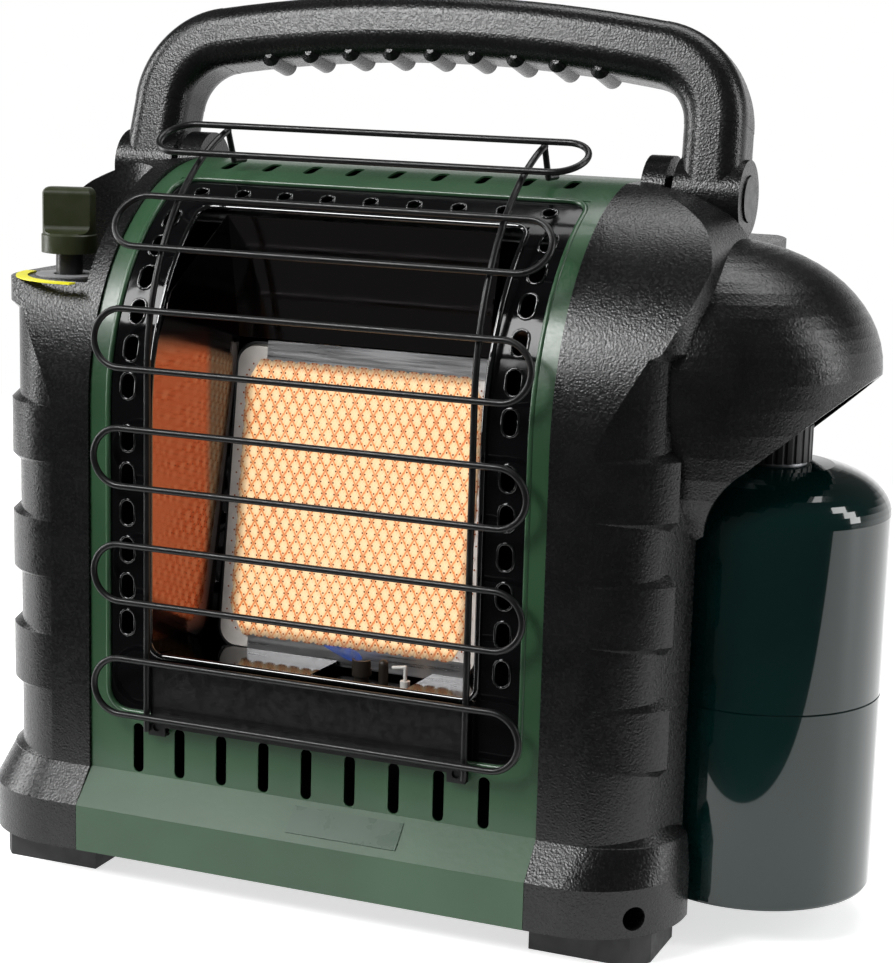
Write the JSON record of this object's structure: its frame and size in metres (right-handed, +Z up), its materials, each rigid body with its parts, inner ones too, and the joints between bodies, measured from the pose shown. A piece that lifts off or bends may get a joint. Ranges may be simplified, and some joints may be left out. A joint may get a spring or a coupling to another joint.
{
  "type": "portable propane heater",
  "caption": "Portable radiant heater: arched front with glowing tile and wire guard, moulded side casings, folding handle, control knob and fuel cylinder hanging under a hood.",
  "frame": {"origin": "on the floor, below the middle of the box round the whole heater with its cylinder", "axes": "+Z up, the heated front faces -Y, +X towards the side that carries the cylinder"},
  "size_m": [0.3826, 0.196, 0.3802],
  "materials": {
    "panel_green": "semi-gloss baked enamel with fine light flecks",
    "casing_black": "grained moulded plastic, satin sparkle at grazing light",
    "panel_black": "satin paint",
    "sheet_steel": "plain pressed sheet, lightly brushed",
    "rubber_black": "matt moulded rubber",
    "enamel_black": "high-gloss heat-proof enamel",
    "tile_glow": "porous fired ceramic, glowing in use",
    "gasket_grey": "compressed ceramic fibre, matt",
    "brass": "turned, satin",
    "copper": "drawn tube, slightly dull",
    "insulator_white": "glazed, semi-gloss",
    "cast_alloy": "die cast, fine grain",
    "plastic_black": "plain satin plastic",
    "wire_black": "satin black coated wire",
    "screw_steel": "zinc plated",
    "dial_grey": "printed film, satin",
    "mark_yellow": "printed film, satin",
    "patch_green": "blank printed film, satin",
    "cap_grey": "smooth satin plastic",
    "knob_olive": "satin moulded plastic",
    "seal_rubber": "soft black rubber",
    "cylinder_green": "high-gloss paint over smooth drawn steel"
  },
  "bodies": {
    "heater": {"front_shell": "panel_green", "left_casing": "casing_black", "right_casing": "casing_black", "back_panel": "panel_black", "base_pan": "sheet_steel", "chassis_sides": "sheet_steel", "feet": "rubber_black", "window_frame": "enamel_black", "reflector": "enamel_black", "burner_tile": "tile_glow", "tile_gasket": "gasket_grey", "tile_clips": "sheet_steel", "burner_plenum": "sheet_steel", "venturi_tube": "sheet_steel", "orifice_holder": "brass", "burner_feed_tube": "copper", "pilot_bracket": "sheet_steel", "pilot_burner": "brass", "thermocouple": "copper", "spark_electrode": "insulator_white", "pilot_tube": "copper", "gas_valve": "cast_alloy", "valve_bracket": "sheet_steel", "piezo_igniter": "plastic_black", "tip_switch": "plastic_black", "heat_shield": "sheet_steel", "supply_tube": "copper", "swivel_elbow": "brass", "swivel_bracket": "sheet_steel", "guard_loops": "wire_black", "guard_uprights": "wire_black", "guard_plate": "wire_black", "guard_screws": "screw_steel", "dial_plate": "dial_grey", "dial_arc": "mark_yellow", "label_patch": "patch_green", "pivot_bolts": "screw_steel", "pivot_washers": "plastic_black", "case_screws": "screw_steel"},
    "handle_frame": {"handle": "casing_black", "handle_caps": "cap_grey"},
    "valve_plug": {"valve_plug": "brass"},
    "control": {"knob": "knob_olive", "knob_shaft": "plastic_black"},
    "tip_weight": {"tip_pendulum": "sheet_steel"},
    "regulator": {"regulator_can": "cast_alloy", "inlet_neck": "cast_alloy", "inlet_collar": "plastic_black"},
    "seal": {"inlet_seal": "seal_rubber"},
    "cylinder": {"cylinder_shell": "cylinder_green", "cylinder_ring": "cylinder_green", "cylinder_valve": "brass"}
  },
  "joints": [
    {"name": "handle_fold", "type": "hinge", "parent": "heater", "child": "handle_frame", "pos_m": [-0.02927, 0.0284, 0.3], "axis": [-1, 0, 0], "range_deg": [-15, 70]},
    {"name": "control_turn", "type": "hinge", "parent": "heater", "child": "valve_plug", "pos_m": [-0.16228, -0.0516, 0.23], "axis": [0, 0, 1], "range_deg": [0, 200]},
    {"name": "control_push", "type": "slide", "parent": "valve_plug", "child": "control", "axis": [0, 0, -1], "range_m": [0, 0.005], "stiffness_N_per_m": 1200, "springref_m": -0.004},
    {"name": "tip_swing", "type": "hinge", "parent": "heater", "child": "tip_weight", "pos_m": [-0.14377, 0.0274, 0.08], "axis": [0, 1, 0], "range_deg": [-17, 17]},
    {"name": "regulator_swivel", "type": "hinge", "parent": "heater", "child": "regulator", "pos_m": [0.12573, 0.0014, 0.24], "axis": [0, -1, 0], "range_deg": [0, 30]},
    {"name": "cylinder_advance", "type": "slide", "parent": "regulator", "child": "seal", "axis": [0, 0, -1], "range_m": [0, 0.00636]},
    {"name": "cylinder_turn", "type": "hinge", "parent": "seal", "child": "cylinder", "pos_m": [0.14203, 0.0014, 0.1], "axis": [0, 0, -1], "range_deg": [0, 1800]}
  ],
  "couplings": [
    {"joint": "cylinder_advance", "follows": "cylinder_turn", "m_per_rad": 0.00020213}
  ]
}
